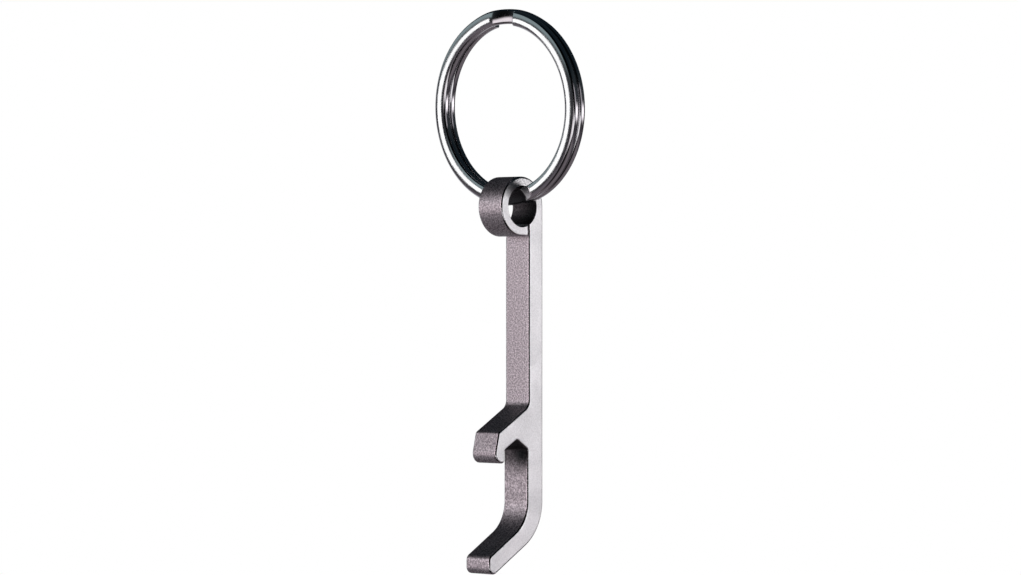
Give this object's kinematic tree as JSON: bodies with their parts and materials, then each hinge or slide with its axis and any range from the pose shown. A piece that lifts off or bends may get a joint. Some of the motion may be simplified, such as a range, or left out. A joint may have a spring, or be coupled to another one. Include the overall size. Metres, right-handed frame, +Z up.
{
  "type": "keychain bottle opener",
  "caption": "Slim one-piece keychain bottle opener with a hooked tooth and a bent lip, hanging by its rolled eye from a split key ring.",
  "frame": {"origin": "top of the split ring's inner surface, where a hook or a finger carries it", "axes": "+Z up, +X from the mouth towards the bar's back, Y along the eye's bore and across the plate"},
  "size_m": [0.0119, 0.03, 0.0866],
  "materials": {
    "blasted_metal": "fine bead-blasted titanium, warm grey and satin, with softly broken edges",
    "ring_steel": "polished steel wire with faint drawing lines"
  },
  "bodies": {
    "ring": {"split_ring": "ring_steel"},
    "opener": {"opener_body": "blasted_metal"}
  },
  "joints": [
    {"name": "opener_swing", "type": "hinge", "parent": "ring", "child": "opener", "pos_m": [0.00088, 0, -0.02808], "axis": [0, 1, 0], "range_deg": [-167, 175]}
  ]
}
